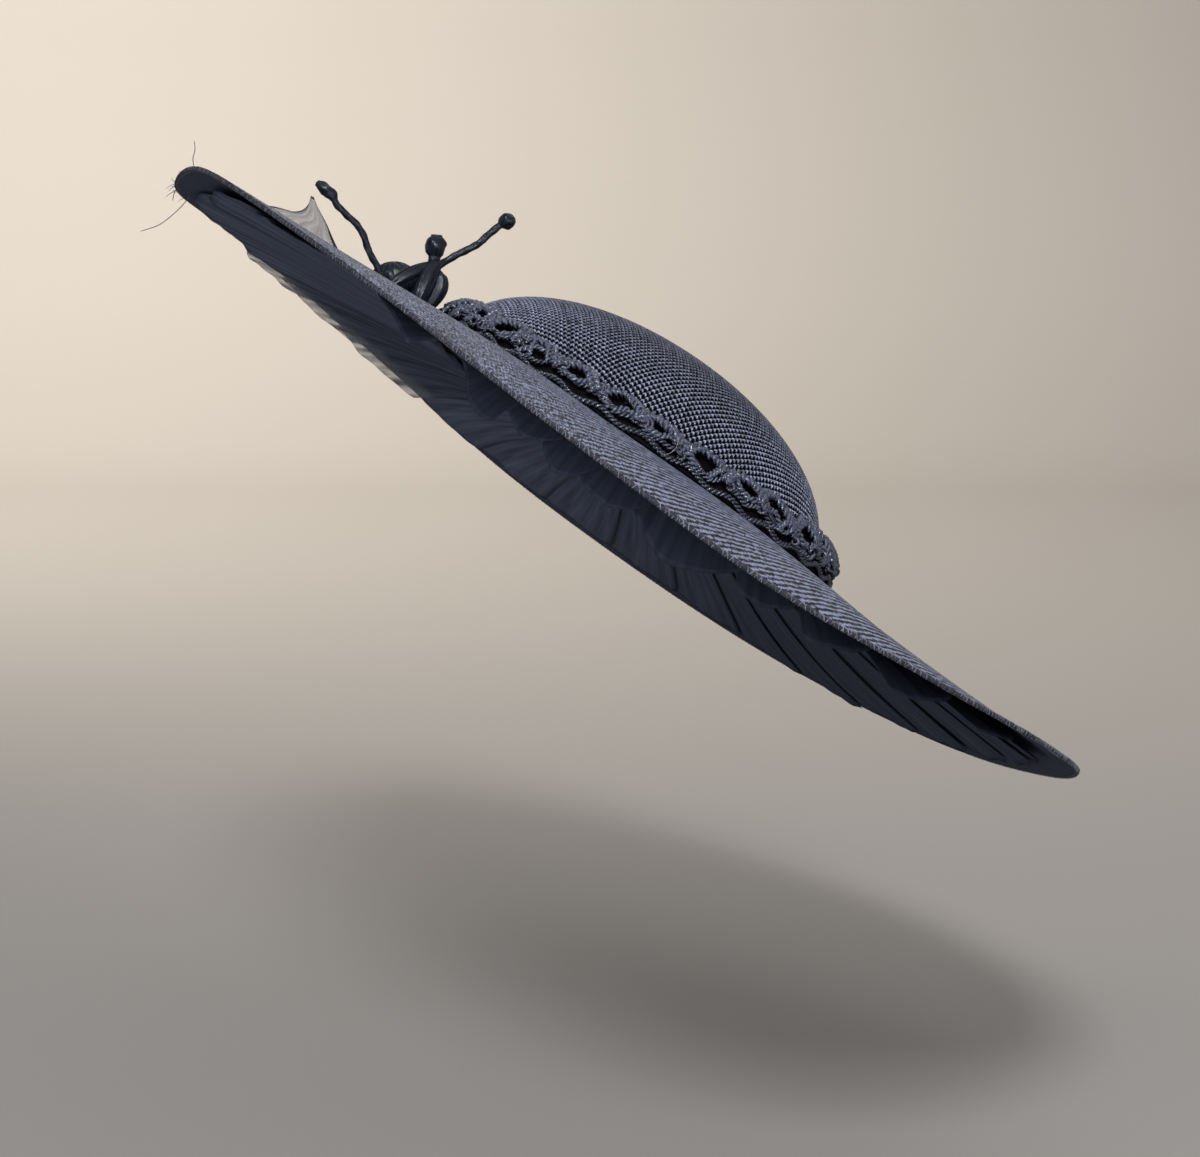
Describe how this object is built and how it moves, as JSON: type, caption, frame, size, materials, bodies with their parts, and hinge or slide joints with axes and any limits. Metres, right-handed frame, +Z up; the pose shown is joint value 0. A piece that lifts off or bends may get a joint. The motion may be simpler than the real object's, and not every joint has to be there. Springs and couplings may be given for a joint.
{
  "type": "saucer fascinator",
  "caption": "Wide woven saucer fascinator with a shallow domed crown, a looped trim, a cord flower and soft scalloped petals under its tilted brim.",
  "frame": {"origin": "centre of the head opening, in the plane where the crown meets the brim", "axes": "+Z up with the hat held as worn, +X level towards the brim's low tip, +Y level towards the far side, away from the flower's viewer"},
  "size_m": [0.4006, 0.4726, 0.2885],
  "materials": {
    "crown_straw": "coarse satin basket-weave straw, dark navy",
    "brim_straw": "fine satin-woven straw, slate navy",
    "edge_stitching": "overcast satin thread over a wired edge, dark navy",
    "satin_cord": "glossy corded satin, black navy",
    "petal_cloth": "smooth soft cloth, navy",
    "sheer_cloth": "sheer pale grey organza"
  },
  "bodies": {
    "root": {"brim": "brim_straw", "button": "satin_cord", "crown": "crown_straw", "edge_cord": "edge_stitching", "leaf_left": "satin_cord", "leaf_right": "satin_cord", "loop_trim": "satin_cord", "petal_01": "petal_cloth", "petal_02": "petal_cloth", "petal_03": "petal_cloth", "petal_04": "petal_cloth", "petal_05": "petal_cloth", "petal_06": "petal_cloth", "petal_07": "petal_cloth", "petal_08": "petal_cloth", "petal_09": "petal_cloth", "petal_10": "petal_cloth", "petal_11": "petal_cloth", "petal_12": "petal_cloth", "petal_13": "petal_cloth", "petal_14": "petal_cloth", "petal_15": "petal_cloth", "petal_19": "petal_cloth", "petal_20": "petal_cloth", "petal_21": "petal_cloth", "petal_22": "petal_cloth", "petal_23": "petal_cloth", "petal_24": "petal_cloth", "petal_25": "petal_cloth", "petal_26": "petal_cloth", "petal_27": "petal_cloth", "petal_28": "petal_cloth", "petal_29": "petal_cloth", "petal_30": "petal_cloth", "sheer_petal_16": "sheer_cloth", "sheer_petal_17": "sheer_cloth", "sheer_petal_18": "sheer_cloth", "sheer_spike": "sheer_cloth", "stamen_bud": "satin_cord", "stamen_left": "satin_cord", "stamen_right": "satin_cord"}
  },
  "joints": []
}
